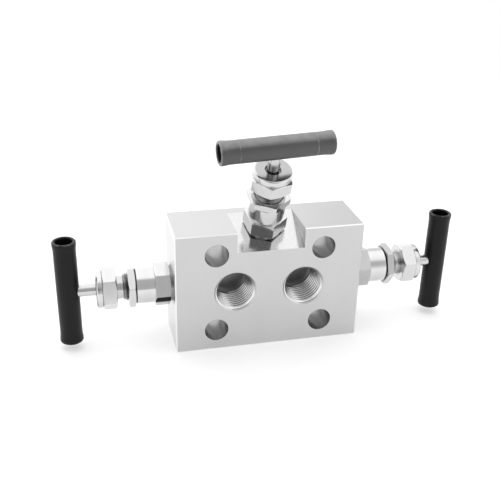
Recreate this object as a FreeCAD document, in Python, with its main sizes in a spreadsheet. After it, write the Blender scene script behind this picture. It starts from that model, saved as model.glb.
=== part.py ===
import FreeCAD, Part
import math
import os
import re
import Sketcher

# Instrument valve manifold: a drilled block with two isolating valves and one equalising valve.
# The finished part stands on the block's bottom face, with the origin at the middle of that face,
# +X to the right, +Y away from the two threaded process ports and +Z up. All lengths are millimetres.

# Driving sizes
SIZES = {
    # Block
    "block_height": 63.5,
    "block_depth": 32.0,
    "block_edge": 0.5,
    # Through holes for the four flange bolts
    "bolt_spacing_wide": 54.0,
    "bolt_spacing_high": 41.3,
    "bolt_hole_radius": 6.0,
    # Threaded process ports in the front face
    "port_spacing": 35.0,
    "port_radius": 10.4,
    "port_mouth_chamfer": 0.35,
    "port_thread_depth": 15.5,
    "port_bottom_radius": 9.2,
    "port_depth": 19.5,
    # Sloping notch under the equalising valve
    "notch_width": 34.0,
    "notch_depth": 10.4,
    "notch_back_land": 6.4,
    # Instrument ports in the back face, each with a seal groove
    "flange_port_radius": 4.0,
    "flange_port_depth": 6.0,
    "groove_inner_radius": 9.0,
    "groove_outer_radius": 12.2,
    "groove_depth": 2.4,
    "passage_radius": 1.75,
    # Valve chamber under each bonnet, and the wall between its seat and the process port beside it
    "seat_wall": 2.6,
    "chamber_depth": 3.5,
    "chamber_radius": 4.6,
    "orifice_radius": 2.2,
    "equalising_orifice_length": 5.0,
    # Hexagons, all cut from one bar
    "hex_flats": 19.0,
    "hex_face_inset": 0.2,
    # Bonnet
    "bonnet_thread_radius": 8.0,
    "bonnet_thread_length": 12.5,
    "bonnet_collar_radius": 9.1,
    "bonnet_collar_length": 1.0,
    "bonnet_hex_length": 7.7,
    "barrel_radius": 9.0,
    "barrel_length": 9.5,
    "barrel_end_chamfer": 0.7,
    "turned_edge": 0.35,
    "stem_thread_relief": 4.5,
    "backseat_height": 5.0,
    "backseat_wall": 2.0,
    "packing_radius": 5.5,
    "seal_thickness": 1.0,
    "seal_width": 2.6,
    # Packing
    "packing_ring_height": 1.36,
    "packing_ring_gap": 0.04,
    "follower_height": 1.0,
    # Gland nut, its lock nut and its cap
    "gland_nose_length": 1.0,
    "gland_thread_radius": 6.9,
    "lock_nut_thickness": 3.6,
    "gland_thread_showing": 2.0,
    "gland_neck_radius": 5.8,
    "gland_neck_length": 3.4,
    "gland_hex_length": 6.9,
    "gland_spigot_radius": 6.5,
    "gland_spigot_length": 2.2,
    "cap_radius": 9.4,
    "cap_length": 3.2,
    "cap_edge": 1.1,
    "cap_hole_radius": 3.75,
    # Stem and its swivelling tip
    "stem_radius": 3.0,
    "stem_thread_radius": 4.0,
    "stem_stroke": 6.0,
    "tip_nose_radius": 1.0,
    "tip_radius": 3.2,
    "tip_height": 3.8,
    "tip_neck_radius": 1.6,
    "tip_neck_length": 1.5,
    "tip_flange_radius": 2.6,
    "tip_flange_height": 1.3,
    # Handle
    "handle_height": 45.5,
    "handle_length": 55.0,
    "handle_radius": 5.5,
    "handle_bore_radius": 4.2,
    "lip_radius": 5.8,
    "lip_length": 1.6,
    "lip_taper": 2.4,
    "lip_bevel": 0.6,
    "core_length": 37.0,
    "stem_past_core_middle": 2.8,
    "screw_radius": 2.0,
    "screw_length": 8.0,
    # Clearances
    "running_clearance": 0.08,
    "assembly_clearance": 0.05,
    # How far each valve is opened from its seat
    "left_opening": 5.2,
    "right_opening": 3.5,
    "equalising_opening": 4.9,
    # How far each hexagon and the equalising handle are turned about their valve's axis, in degrees
    "left_bonnet_turn": 18.6,
    "left_lock_nut_turn": 48.4,
    "left_gland_turn": 12.8,
    "right_bonnet_turn": 15.8,
    "right_lock_nut_turn": 37.2,
    "right_gland_turn": 13.2,
    "equalising_bonnet_turn": 39.7,
    "equalising_lock_nut_turn": 37.0,
    "equalising_gland_turn": 17.5,
    "equalising_handle_turn": 4.0,
}
HEX_CHAMFER_ANGLE = 15
SEAT_HALF_ANGLE = 30
PACKING_RINGS = 3

# Derived places, as formulas of the driving sizes. Heights run outwards along a valve's axis, from
# the face of the block that its bonnet stands on.
NO_TURN = "rotation(vector(0; 0; 1); 0)"
HEX_RADIUS = "(hex_flats / sqrt(3))"
BAR_RADIUS = "(hex_flats / sqrt(3) + 1)"
FACE_RADIUS = "(hex_flats / 2 - hex_face_inset)"
POCKET = "(bonnet_thread_length + seal_thickness)"
SEAT = f"({POCKET} + chamber_depth)"
BONNET_HEX_TOP = "(bonnet_collar_length + bonnet_hex_length)"
BARREL_TOP = f"({BONNET_HEX_TOP} + barrel_length)"
PACKING_FLOOR = "(backseat_height + backseat_wall)"
PACKING_PITCH = "(packing_ring_height + packing_ring_gap)"
PACKING_TOP = f"({PACKING_FLOOR} + {PACKING_RINGS} * {PACKING_PITCH})"
FOLLOWER_TOP = f"({PACKING_TOP} + follower_height)"
NOSE_TOP = f"({FOLLOWER_TOP} + gland_nose_length)"
LOCK_NUT_TOP = f"({BARREL_TOP} + lock_nut_thickness)"
NECK_START = f"({LOCK_NUT_TOP} + gland_thread_showing)"
GLAND_HEX_START = f"({NECK_START} + gland_neck_length)"
GLAND_HEX_TOP = f"({GLAND_HEX_START} + gland_hex_length)"
SPIGOT_TOP = f"({GLAND_HEX_TOP} + gland_spigot_length)"
CAP_TOP = f"({GLAND_HEX_TOP} + cap_length)"
BLOCK_WIDTH = f"(port_spacing + 2 * (port_radius + seat_wall + {SEAT}))"
NOTCH_SLOPE = "(notch_depth / (block_depth - notch_back_land))"
NOTCH_FLOOR = f"(block_height / 2 - notch_depth + block_depth / 2 * {NOTCH_SLOPE})"

# The block is drawn about the middle of its front face, and this places it in the finished part.
BLOCK_PLACE = f"placement(vector(0; -block_depth / 2; block_height / 2); {NO_TURN})"
# Each valve's frame in the block: +Z outwards along its axis, and +X along its handle.
VALVES = {
    "left": f"placement(vector(-{BLOCK_WIDTH} / 2; block_depth / 2; 0); rotation(vector(0; 1; 0); -90))",
    "right": f"placement(vector({BLOCK_WIDTH} / 2; block_depth / 2; 0); rotation(vector(0; 1; 0); 90))",
    "equalising": f"placement(vector(0; block_depth / 2; {NOTCH_FLOOR}); "
                  f"rotation(vector(1; 0; 0); atan({NOTCH_SLOPE})))",
}

doc = FreeCAD.newDocument("ValveManifold")
sheet = doc.addObject("Spreadsheet::Sheet", "Sizes")
for row, (alias, value) in enumerate(SIZES.items(), start=1):
    sheet.set(f"A{row}", alias)
    sheet.set(f"B{row}", str(value))
    sheet.setAlias(f"B{row}", alias)
doc.recompute()
parts = []


def formula(text):
    """The text with each size's name pointed at its cell in the sheet."""
    return re.sub(r"[a-z_]+", lambda word: f"Sizes.{word[0]}" if word[0] in SIZES else word[0], text)


def new_part(label):
    body = doc.addObject("PartDesign::Body", label)
    body.Label = label
    parts.append(body)
    return body


def origin_plane(body, role):
    return next(feature for feature in body.Origin.OriginFeatures if feature.Role == role)


def closed_sketch(body, name, role, loops, offset=()):
    """A sketch of closed loops on one of the body's own planes. Each corner is a pair of formulas, and
    offset holds formulas for the sketch's place on the plane: x, y, height and turn in degrees."""
    sketch = body.newObject("Sketcher::SketchObject", name)
    sketch.AttachmentSupport = [(origin_plane(body, role), "")]
    sketch.MapMode = "FlatFace"
    for target, text in zip(("Base.x", "Base.y", "Base.z", "Rotation.Angle"), offset):
        sketch.setExpression(f"AttachmentOffset.{target}", formula(text))
    for loop in loops:
        add_loop(sketch, loop)
    return sketch


def add_loop(sketch, corners):
    first, count = sketch.GeometryCount, len(corners)
    start = [FreeCAD.Vector(math.cos(2 * math.pi * k / count), math.sin(2 * math.pi * k / count), 0)
             for k in range(count)]
    for k in range(count):
        sketch.addGeometry(Part.LineSegment(start[k], start[(k + 1) % count]), False)
    for k in range(count):
        sketch.addConstraint(Sketcher.Constraint("Coincident", first + k, 2, first + (k + 1) % count, 1))
    for k, corner in enumerate(corners):
        for kind, text, axis in zip(("DistanceX", "DistanceY"), corner, (-2, -1)):
            if text == "0":
                sketch.addConstraint(Sketcher.Constraint("PointOnObject", first + k, 1, axis))
            else:
                index = sketch.addConstraint(Sketcher.Constraint(kind, -1, 1, first + k, 1, 1.0))
                sketch.setExpression(f"Constraints[{index}]", formula(text))


def turned(body, name, loops, kind="Revolution", role="XZ_Plane", offset=(), axis="V_Axis"):
    """Adds (Revolution) or removes (Groove) the loops turned once round an axis of their sketch."""
    sketch = closed_sketch(body, f"{name}_outline", role, loops, offset)
    feature = body.newObject(f"PartDesign::{kind}", name)
    feature.Profile = sketch
    feature.ReferenceAxis = (sketch, [axis])
    feature.Angle = 360
    return feature


def hexagon_bar(body, start, end):
    corners = [(f"{HEX_RADIUS} * cos({60 * k} deg)", f"{HEX_RADIUS} * sin({60 * k} deg)") for k in range(6)]
    sketch = closed_sketch(body, "bar_section", "XY_Plane", [corners], ("0", "0", start))
    bar = body.newObject("PartDesign::Pad", "hexagon_bar")
    bar.Profile = sketch
    bar.setExpression("Length", formula(f"{end} - {start}"))


# How far a hexagon's chamfer climbs between its start on the end face and the radius that clears the bar
CHAMFER_RISE = f"({BAR_RADIUS} - {FACE_RADIUS}) * tan({HEX_CHAMFER_ANGLE} deg)"


def circle_cut(body, name, role, circles, through=True):
    """Cuts round holes square to a plane through the whole body. Each circle is x, y and radius."""
    sketch = body.newObject("Sketcher::SketchObject", f"{name}_outline")
    sketch.AttachmentSupport = [(origin_plane(body, role), "")]
    sketch.MapMode = "FlatFace"
    for across, up, radius in circles:
        circle = sketch.addGeometry(Part.Circle(FreeCAD.Vector(0, 0, 0), FreeCAD.Vector(0, 0, 1), 1), False)
        for kind, text in (("DistanceX", across), ("DistanceY", up)):
            index = sketch.addConstraint(Sketcher.Constraint(kind, -1, 1, circle, 3, 1.0))
            sketch.setExpression(f"Constraints[{index}]", formula(text))
        index = sketch.addConstraint(Sketcher.Constraint("Radius", circle, 1.0))
        sketch.setExpression(f"Constraints[{index}]", formula(radius))
    cut = body.newObject("PartDesign::Pocket", name)
    cut.Profile = sketch
    cut.Type = "ThroughAll"
    cut.SideType = "Symmetric"
    return cut


def drilled_passage(body, name, start, end):
    """A round passage between two points of the block, each given as three formulas."""
    run = [f"({last}) - ({first})" for first, last in zip(start, end)]
    squares = " + ".join(f"({step}) ^ 2" for step in run)
    drill = body.newObject("PartDesign::SubtractiveCylinder", name)
    drill.AttachmentSupport = [(origin_plane(body, "XY_Plane"), "")]
    drill.MapMode = "FlatFace"
    drill.setExpression("AttachmentOffset", formula(
        f"placement(vector({'; '.join(start)}); rotation(vector(0; 0; 1); vector({'; '.join(run)})))"))
    drill.setExpression("Height", formula(f"sqrt({squares})"))
    drill.setExpression("Radius", formula("passage_radius"))


def place(part, valve, turn="0", lift="0"):
    """Puts a part of a valve in its place, turned about the valve's axis and lifted along it."""
    step = f"placement(vector(0; 0; {lift}); rotation(vector(0; 0; 1); {turn}))"
    part.setExpression("Placement", formula(f"{BLOCK_PLACE} * {VALVES[valve]} * {step}"))


# Block
def valve_pocket(body, valve, role, offset, orifice_end):
    """The threaded pocket for a bonnet, with the valve chamber, its seat and the orifice below it."""
    turned(body, f"{valve}_pocket", [[
        ("0", f"-{orifice_end}"),
        ("orifice_radius", f"-{orifice_end}"),
        ("orifice_radius", f"-{SEAT}"),
        ("chamber_radius", f"-{SEAT}"),
        ("chamber_radius", f"-{POCKET}"),
        ("bonnet_thread_radius + assembly_clearance", f"-{POCKET}"),
        ("bonnet_thread_radius + assembly_clearance", "0"),
        ("0", "0"),
    ]], "Groove", role, offset)


def manifold_block():
    body = new_part("manifold_block")
    half_width, half_height = f"{BLOCK_WIDTH} / 2", "block_height / 2"
    section = closed_sketch(body, "front_outline", "XZ_Plane", [[
        (f"-{half_width}", f"-{half_height}"),
        (half_width, f"-{half_height}"),
        (half_width, half_height),
        (f"-{half_width}", half_height),
    ]])
    pad = body.newObject("PartDesign::Pad", "bar")
    pad.Profile = section
    pad.Reversed = True
    pad.setExpression("Length", formula("block_depth"))
    doc.recompute()
    chamfer = body.newObject("PartDesign::Chamfer", "broken_edges")
    chamfer.Base = (pad, [f"Edge{k + 1}" for k in range(len(pad.Shape.Edges))])
    chamfer.setExpression("Size", formula("block_edge"))

    notch = body.newObject("PartDesign::Pocket", "notch")
    notch.Profile = closed_sketch(body, "notch_side", "YZ_Plane", [[
        ("0", "block_height / 2 - notch_depth"),
        ("block_depth - notch_back_land", half_height),
        ("0", half_height),
    ]])
    notch.SideType = "Symmetric"
    notch.setExpression("Length", formula("notch_width"))

    circle_cut(body, "bolt_holes", "XZ_Plane", [
        (f"{sign_x} * bolt_spacing_wide / 2", f"{sign_z} * bolt_spacing_high / 2", "bolt_hole_radius")
        for sign_x in (-1, 1) for sign_z in (-1, 1)])

    for side, sign in (("left", -1), ("right", 1)):
        turned(body, f"{side}_process_port", [[
            ("0", "0"),
            ("port_radius + port_mouth_chamfer", "0"),
            ("port_radius", "port_mouth_chamfer"),
            ("port_radius", "port_thread_depth"),
            ("port_bottom_radius", "port_thread_depth + port_radius - port_bottom_radius"),
            ("port_bottom_radius", "port_depth"),
            ("0", "port_depth"),
        ]], "Groove", "XY_Plane", (f"{sign} * port_spacing / 2",))
        turned(body, f"{side}_instrument_port", [
            [("0", "block_depth"),
             ("flange_port_radius", "block_depth"),
             ("flange_port_radius", "block_depth - flange_port_depth"),
             ("0", "block_depth - flange_port_depth")],
            [("groove_inner_radius", "block_depth"),
             ("groove_outer_radius", "block_depth"),
             ("groove_outer_radius", "block_depth - groove_depth"),
             ("groove_inner_radius", "block_depth - groove_depth")],
        ], "Groove", "XY_Plane", (f"{sign} * bolt_spacing_wide / 2",))
        valve_pocket(body, side, "XZ_Plane",
                     (f"{sign} * {BLOCK_WIDTH} / 2", "0", "-block_depth / 2", f"{-sign} * 90"),
                     f"({SEAT} + seat_wall + port_radius / 4)")
    valve_pocket(body, "equalising", "YZ_Plane",
                 ("block_depth / 2", NOTCH_FLOOR, "0", f"atan({NOTCH_SLOPE})"),
                 f"({SEAT} + equalising_orifice_length)")

    # Each instrument port feeds its own isolating valve's chamber. The left one also feeds the
    # equalising orifice, below the seat, and the right one the equalising chamber, above it.
    chamber = f"({SEAT} - chamber_depth / 2)"
    below_seat = f"({SEAT} + 0.8 * equalising_orifice_length)"
    port_back = "block_depth - flange_port_depth + passage_radius"
    for side, sign, depth in (("left", -1, below_seat), ("right", 1, chamber)):
        port_end = (f"{sign} * bolt_spacing_wide / 2", port_back, "0")
        drilled_passage(body, f"{side}_chamber_passage", port_end,
                        (f"{sign} * ({BLOCK_WIDTH} / 2 - {chamber})", "block_depth / 2", "0"))
        drilled_passage(body, f"{side}_equalising_passage", port_end,
                        ("0", f"block_depth / 2 + {depth} * sin(atan({NOTCH_SLOPE}))",
                         f"{NOTCH_FLOOR} - {depth} * cos(atan({NOTCH_SLOPE}))"))
    body.setExpression("Placement", formula(BLOCK_PLACE))


def flange_seal(side, sign):
    """Soft ring that seals an instrument port against the instrument's flange."""
    body = new_part(f"{side}_flange_seal")
    turned(body, "ring", [[
        ("groove_inner_radius + assembly_clearance", "block_depth - groove_depth"),
        ("groove_outer_radius - assembly_clearance", "block_depth - groove_depth"),
        ("groove_outer_radius - assembly_clearance", "block_depth"),
        ("groove_inner_radius + assembly_clearance", "block_depth"),
    ]], role="XY_Plane")
    across = f"placement(vector({sign} * bolt_spacing_wide / 2; 0; 0); {NO_TURN})"
    body.setExpression("Placement", formula(f"{BLOCK_PLACE} * {across}"))


# Parts of one valve, in the valve's own frame
def bonnet(valve):
    body = new_part(f"{valve}_bonnet")
    hexagon_bar(body, "-bonnet_thread_length", BARREL_TOP)
    turned(body, "turned_ends", [
        [("bonnet_thread_radius - 2 * turned_edge", "-bonnet_thread_length"),
         ("bonnet_thread_radius", "2 * turned_edge - bonnet_thread_length"),
         ("bonnet_thread_radius", "0"),
         ("bonnet_collar_radius", "0"),
         ("bonnet_collar_radius", "bonnet_collar_length"),
         (FACE_RADIUS, "bonnet_collar_length"),
         (BAR_RADIUS, f"bonnet_collar_length + {CHAMFER_RISE}"),
         (BAR_RADIUS, "-bonnet_thread_length")],
        [("barrel_radius", BONNET_HEX_TOP),
         (FACE_RADIUS, BONNET_HEX_TOP),
         (BAR_RADIUS, f"{BONNET_HEX_TOP} - {CHAMFER_RISE}"),
         (BAR_RADIUS, BARREL_TOP),
         ("barrel_radius - barrel_end_chamfer", BARREL_TOP),
         ("barrel_radius", f"{BARREL_TOP} - barrel_end_chamfer")],
    ], "Groove")
    thread_bore = "stem_thread_radius + running_clearance"
    stem_bore = "stem_radius + running_clearance"
    gland_bore = "gland_thread_radius + assembly_clearance"
    turned(body, "bored_inside", [[
        ("0", "-bonnet_thread_length"),
        (f"{thread_bore} + turned_edge", "-bonnet_thread_length"),
        (f"{thread_bore} + turned_edge", "stem_thread_relief - bonnet_thread_length"),
        (thread_bore, "stem_thread_relief - bonnet_thread_length"),
        (thread_bore, "backseat_height"),
        (stem_bore, "backseat_height"),
        (stem_bore, PACKING_FLOOR),
        ("packing_radius", PACKING_FLOOR),
        ("packing_radius", NOSE_TOP),
        (gland_bore, NOSE_TOP),
        (gland_bore, BARREL_TOP),
        ("0", BARREL_TOP),
    ]], "Groove")
    place(body, valve, f"{valve}_bonnet_turn")


def bonnet_seal(valve):
    """Gasket clamped between the bonnet's nose and the floor of its pocket."""
    body = new_part(f"{valve}_bonnet_seal")
    outer = "bonnet_thread_radius - 2 * turned_edge"
    turned(body, "ring", [[
        (f"{outer} - seal_width", f"-{POCKET}"),
        (outer, f"-{POCKET}"),
        (outer, "-bonnet_thread_length"),
        (f"{outer} - seal_width", "-bonnet_thread_length"),
    ]])
    place(body, valve)


def packing_rings(valve):
    body = new_part(f"{valve}_packing_rings")
    first = turned(body, "first_ring", [[
        ("stem_radius + running_clearance", PACKING_FLOOR),
        ("packing_radius - assembly_clearance", PACKING_FLOOR),
        ("packing_radius - assembly_clearance", f"{PACKING_FLOOR} + packing_ring_height"),
        ("stem_radius + running_clearance", f"{PACKING_FLOOR} + packing_ring_height"),
    ]])
    doc.recompute()
    stack = body.newObject("PartDesign::LinearPattern", "stack")
    stack.Originals = [first]
    stack.Direction = (first.Profile[0], ["V_Axis"])
    stack.Occurrences = PACKING_RINGS
    stack.setExpression("Length", formula(f"{PACKING_RINGS - 1} * {PACKING_PITCH}"))
    body.Tip = stack
    place(body, valve)


def packing_follower(valve):
    body = new_part(f"{valve}_packing_follower")
    turned(body, "washer", [[
        ("stem_radius + running_clearance", PACKING_TOP),
        ("packing_radius - assembly_clearance", PACKING_TOP),
        ("packing_radius - assembly_clearance", FOLLOWER_TOP),
        ("stem_radius + running_clearance", FOLLOWER_TOP),
    ]])
    place(body, valve)


def lock_nut(valve):
    """Thin nut that locks the gland nut against the bonnet."""
    body = new_part(f"{valve}_lock_nut")
    hexagon_bar(body, BARREL_TOP, LOCK_NUT_TOP)
    turned(body, "chamfered_faces", [
        [(FACE_RADIUS, BARREL_TOP),
         (BAR_RADIUS, f"{BARREL_TOP} + {CHAMFER_RISE}"),
         (BAR_RADIUS, BARREL_TOP)],
        [(FACE_RADIUS, LOCK_NUT_TOP),
         (BAR_RADIUS, f"{LOCK_NUT_TOP} - {CHAMFER_RISE}"),
         (BAR_RADIUS, LOCK_NUT_TOP)],
    ], "Groove")
    turned(body, "thread_bore", [[
        ("0", BARREL_TOP),
        ("gland_thread_radius + assembly_clearance", BARREL_TOP),
        ("gland_thread_radius + assembly_clearance", LOCK_NUT_TOP),
        ("0", LOCK_NUT_TOP),
    ]], "Groove")
    place(body, valve, f"{valve}_lock_nut_turn")


def gland_nut(valve):
    """Nut whose nose squeezes the packing as it screws into the bonnet."""
    body = new_part(f"{valve}_gland_nut")
    hexagon_bar(body, FOLLOWER_TOP, SPIGOT_TOP)
    turned(body, "turned_ends", [
        [("packing_radius - assembly_clearance", FOLLOWER_TOP),
         ("packing_radius - assembly_clearance", NOSE_TOP),
         ("gland_thread_radius - turned_edge", NOSE_TOP),
         ("gland_thread_radius", f"{NOSE_TOP} + turned_edge"),
         ("gland_thread_radius", f"{NECK_START} - turned_edge"),
         ("gland_neck_radius", f"{NECK_START} + turned_edge"),
         ("gland_neck_radius", GLAND_HEX_START),
         (FACE_RADIUS, GLAND_HEX_START),
         (BAR_RADIUS, f"{GLAND_HEX_START} + {CHAMFER_RISE}"),
         (BAR_RADIUS, FOLLOWER_TOP)],
        [("gland_spigot_radius", GLAND_HEX_TOP),
         (FACE_RADIUS, GLAND_HEX_TOP),
         (BAR_RADIUS, f"{GLAND_HEX_TOP} - {CHAMFER_RISE}"),
         (BAR_RADIUS, SPIGOT_TOP),
         ("gland_spigot_radius", SPIGOT_TOP)],
    ], "Groove")
    turned(body, "stem_bore", [[
        ("0", FOLLOWER_TOP),
        ("stem_radius + running_clearance", FOLLOWER_TOP),
        ("stem_radius + running_clearance", SPIGOT_TOP),
        ("0", SPIGOT_TOP),
    ]], "Groove")
    place(body, valve, f"{valve}_gland_turn")


def gland_cap(valve):
    """Cap pushed over the gland nut's spigot, which keeps dirt off the stem."""
    body = new_part(f"{valve}_gland_cap")
    bore = "gland_spigot_radius + assembly_clearance"
    # The outer top edge is rounded in two steps, which meet on the 45 degree line of its quarter circle.
    mid_edge = "(1 - sqrt(0.5)) * cap_edge"
    turned(body, "cap", [[
        (bore, GLAND_HEX_TOP),
        ("cap_radius - turned_edge", GLAND_HEX_TOP),
        ("cap_radius", f"{GLAND_HEX_TOP} + turned_edge"),
        ("cap_radius", f"{CAP_TOP} - cap_edge"),
        (f"cap_radius - {mid_edge}", f"{CAP_TOP} - {mid_edge}"),
        ("cap_radius - cap_edge", CAP_TOP),
        ("cap_hole_radius", CAP_TOP),
        ("cap_hole_radius", f"{SPIGOT_TOP} + assembly_clearance"),
        (bore, f"{SPIGOT_TOP} + assembly_clearance"),
    ]])
    place(body, valve)


# Heights of the moving parts are written for a closed valve, and place() lifts them by its opening.
CONTACT_RADIUS = "(orifice_radius - assembly_clearance)"
TIP_TOP = f"(tip_height - {SEAT})"
TIP_NECK_TOP = f"({TIP_TOP} + tip_neck_length)"
TIP_FLANGE_TOP = f"({TIP_NECK_TOP} + tip_flange_height)"
STEM_THREAD_TOP = "(backseat_height - stem_stroke - 2 * running_clearance)"
STEM_END = "(handle_height + stem_past_core_middle)"


def stem_tip(valve):
    """Cone that closes on the seat. It swivels in the end of the stem, so it doesn't turn on the seat."""
    body = new_part(f"{valve}_stem_tip")
    slope = f"tan({SEAT_HALF_ANGLE} deg)"
    nose = f"-{SEAT} - ({CONTACT_RADIUS} - tip_nose_radius) / {slope}"
    turned(body, "tip", [[
        ("0", nose),
        ("tip_nose_radius", nose),
        ("tip_radius", f"(tip_radius - {CONTACT_RADIUS}) / {slope} - {SEAT}"),
        ("tip_radius", TIP_TOP),
        ("tip_neck_radius", TIP_TOP),
        ("tip_neck_radius", TIP_NECK_TOP),
        ("tip_flange_radius", TIP_NECK_TOP),
        ("tip_flange_radius", TIP_FLANGE_TOP),
        ("0", TIP_FLANGE_TOP),
    ]])
    place(body, valve, lift=f"{valve}_opening")


def stem(valve, handle_turn):
    body = new_part(f"{valve}_stem")
    lip = "tip_neck_radius + running_clearance"
    socket = "tip_flange_radius + running_clearance"
    skirt = "stem_thread_radius - turned_edge / 2"
    turned(body, "stem", [[
        (lip, f"{TIP_TOP} + running_clearance"),
        (skirt, f"{TIP_TOP} + running_clearance"),
        (skirt, f"{TIP_FLANGE_TOP} - turned_edge"),
        ("stem_thread_radius", f"{TIP_FLANGE_TOP} - turned_edge"),
        ("stem_thread_radius", STEM_THREAD_TOP),
        ("stem_radius", STEM_THREAD_TOP),
        ("stem_radius", STEM_END),
        ("0", STEM_END),
        ("0", f"{TIP_FLANGE_TOP} + running_clearance"),
        (socket, f"{TIP_FLANGE_TOP} + running_clearance"),
        (socket, f"{TIP_NECK_TOP} - running_clearance"),
        (lip, f"{TIP_NECK_TOP} - running_clearance"),
    ]])
    place(body, valve, handle_turn, f"{valve}_opening")


def cross_hole(body, name, radius, start, end):
    """A round hole along the valve's axis, cut between two heights."""
    turned(body, name, [[("0", start), (radius, start), (radius, end), ("0", end)]], "Groove")


def handle_core(valve, handle_turn):
    """Steel bar inside the handle, with the stem let into its middle."""
    body = new_part(f"{valve}_handle_core")
    radius = "handle_bore_radius - assembly_clearance"
    on_handle_axis = ("0", "handle_height")
    turned(body, "bar", [[
        ("-core_length / 2", "0"),
        ("core_length / 2", "0"),
        ("core_length / 2", radius),
        ("-core_length / 2", radius),
    ]], offset=on_handle_axis, axis="H_Axis")
    cross_hole(body, "stem_hole", "stem_radius + assembly_clearance",
               "handle_height - handle_bore_radius", f"{STEM_END} + assembly_clearance")
    screw_hole = "screw_radius + assembly_clearance"
    turned(body, "screw_hole", [[
        ("0", "0"),
        ("core_length / 2", "0"),
        ("core_length / 2", screw_hole),
        ("0", screw_hole),
    ]], "Groove", offset=on_handle_axis, axis="H_Axis")
    place(body, valve, handle_turn, f"{valve}_opening")


def set_screw(valve, handle_turn):
    """Screw in the handle's core, reached through the open end of the handle, that holds the stem."""
    body = new_part(f"{valve}_set_screw")
    tip = "stem_radius + assembly_clearance"
    turned(body, "screw", [[
        (tip, "0"),
        (f"{tip} + screw_length", "0"),
        (f"{tip} + screw_length", "screw_radius"),
        (f"{tip} + turned_edge", "screw_radius"),
        (tip, "screw_radius - turned_edge"),
    ]], offset=("0", "handle_height"), axis="H_Axis")
    place(body, valve, handle_turn, f"{valve}_opening")


def handle_tube(valve, handle_turn):
    """Black tube over the core, open at both ends, with a flared lip at each end."""
    body = new_part(f"{valve}_handle_tube")
    end = "handle_length / 2"
    turned(body, "tube", [[
        (f"-{end}", "handle_bore_radius"),
        (end, "handle_bore_radius"),
        (end, "lip_radius - lip_bevel"),
        (f"{end} - lip_bevel", "lip_radius"),
        (f"{end} - lip_length", "lip_radius"),
        (f"{end} - lip_length - lip_taper", "handle_radius"),
        (f"lip_length + lip_taper - {end}", "handle_radius"),
        (f"lip_length - {end}", "lip_radius"),
        (f"lip_bevel - {end}", "lip_radius"),
        (f"-{end}", "lip_radius - lip_bevel"),
    ]], offset=("0", "handle_height"), axis="H_Axis")
    cross_hole(body, "stem_hole", "stem_radius + running_clearance",
               "handle_height - lip_radius", "handle_height")
    place(body, valve, handle_turn, f"{valve}_opening")


# The left handle is turned half way round, so that its set screw faces down.
HANDLE_TURNS = {"left": "180", "right": "0", "equalising": "equalising_handle_turn"}

manifold_block()
for name, direction in (("left", -1), ("right", 1)):
    flange_seal(name, direction)
for name, turn in HANDLE_TURNS.items():
    for make in (bonnet, bonnet_seal, packing_rings, packing_follower, gland_nut, lock_nut, gland_cap, stem_tip):
        make(name)
    for make in (stem, handle_core, set_screw, handle_tube):
        make(name, turn)
doc.recompute()

for item in doc.Objects:
    if "Invalid" in item.State or "Error" in item.State:
        raise RuntimeError(f"{item.Label} was not rebuilt: {item.State}")
for part in parts:
    if part.Shape.isNull() or not part.Shape.isValid():
        raise RuntimeError(f"{part.Label} has no valid shape")

os.makedirs("parts", exist_ok=True)
for part in parts:
    part.Shape.exportStep(f"parts/{part.Label}.step")
print(f"{len(parts)} parts written")
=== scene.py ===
import math

import bmesh
import bpy
from mathutils import Matrix, Vector


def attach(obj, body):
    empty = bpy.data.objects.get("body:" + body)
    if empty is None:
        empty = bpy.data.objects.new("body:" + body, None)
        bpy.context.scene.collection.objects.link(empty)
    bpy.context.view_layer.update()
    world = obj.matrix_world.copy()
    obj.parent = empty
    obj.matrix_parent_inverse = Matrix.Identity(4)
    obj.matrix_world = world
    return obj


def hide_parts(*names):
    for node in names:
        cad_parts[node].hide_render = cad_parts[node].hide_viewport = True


# Looks of the instrument valve manifold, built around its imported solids. Scene units are metres. Sizes are
# written in millimetres and scaled where they become geometry or a limit in a material.
MM = 0.001
MICROMETRE = 0.000001

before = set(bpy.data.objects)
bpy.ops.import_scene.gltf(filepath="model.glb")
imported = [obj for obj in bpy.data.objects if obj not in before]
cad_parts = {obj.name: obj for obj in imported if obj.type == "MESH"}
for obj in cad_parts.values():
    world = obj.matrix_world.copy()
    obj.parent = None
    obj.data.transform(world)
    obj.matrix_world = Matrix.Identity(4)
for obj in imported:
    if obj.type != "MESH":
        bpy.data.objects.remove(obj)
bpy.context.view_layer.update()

# The valves' sizes, shared with the solids. Heights run outwards along a valve's axis.
HEX_FLATS = 19.0
HEX_FACE_INSET = 0.2
HEX_FACE_RADIUS = HEX_FLATS / 2 - HEX_FACE_INSET
HEX_CHAMFER = math.tan(math.radians(15))
TURNED_EDGE = 0.35
FIT_GAP = 0.05

COLLAR_RADIUS = 9.1
COLLAR_TOP = 1.0
BONNET_HEX_TOP = 8.7
BARREL_RADIUS = 9.0
BARREL_END_CHAMFER = 0.7
BARREL_TOP = 18.2
BONNET_BOTTOM = -12.5
BONNET_THREAD_RADIUS = 8.0
STEM_THREAD_BORE_RADIUS = 4.08
STEM_THREAD_BORE_TOP = 5.0
PACKING_BORE_RADIUS = 5.5
PACKING_BOTTOM = 7.0

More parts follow.
